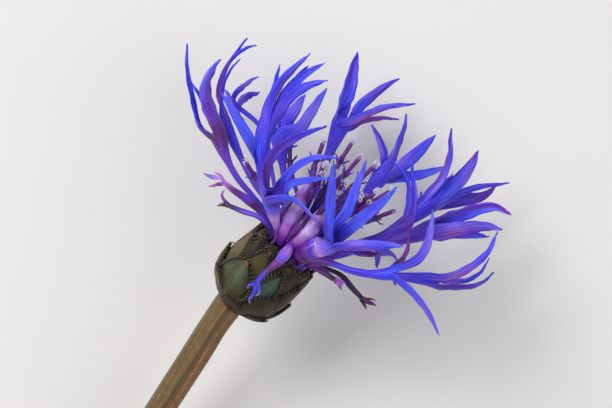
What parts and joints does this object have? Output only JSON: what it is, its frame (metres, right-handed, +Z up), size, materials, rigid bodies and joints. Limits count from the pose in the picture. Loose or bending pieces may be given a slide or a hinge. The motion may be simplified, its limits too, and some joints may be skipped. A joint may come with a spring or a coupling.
{
  "type": "mountain cornflower",
  "caption": "Cut mountain cornflower lying down: bare ribbed stem, globose involucre of comb-edged bracts, purple disc florets and spreading blue ray florets split into pointed lobes.",
  "frame": {"origin": "middle of the flower's footprint on the surface that it lies on", "axes": "+Y along the flower from the cut end of the stem to the head, +Z up from the surface, +X to the right seen from above with the head away from the viewer"},
  "size_m": [0.0724, 0.1254, 0.0434],
  "materials": {
    "stem": "olive tan living stem with brown streaks, finely ribbed and downy, satin",
    "bracts": "olive green scales with a pale midrib sheen, pinkish tips and black combed edges, satin",
    "disc_floret": "lavender pink tubes darkening to magenta anthers with whitish pollen, soft matte",
    "ray_petal": "silky blue petal, violet to maroon towards its base and underside",
    "bent_petal": "silky violet petal with dark purple and pale lavender streaks"
  },
  "bodies": {
    "root": {"stem": "stem", "involucre": "bracts", "disc_florets": "disc_floret", "ray_floret_left": "ray_petal", "ray_floret_left_behind": "ray_petal", "ray_floret_rear_left": "ray_petal", "ray_floret_front_left": "ray_petal", "ray_floret_back_left": "ray_petal", "ray_floret_front_centre_left": "ray_petal", "ray_floret_back": "ray_petal", "ray_floret_back_right": "ray_petal", "ray_floret_front_centre": "ray_petal", "ray_floret_right": "ray_petal", "ray_floret_lower_right": "ray_petal", "ray_floret_centre_right": "ray_petal", "ray_floret_front_right": "ray_petal", "ray_floret_far_right": "ray_petal", "ray_floret_under_left": "ray_petal", "ray_floret_under_right": "ray_petal", "bent_floret_front": "bent_petal", "bent_floret_left": "bent_petal", "bent_floret_lower_left": "bent_petal", "bent_floret_right": "bent_petal", "bent_floret_lower_right": "bent_petal"}
  },
  "joints": []
}
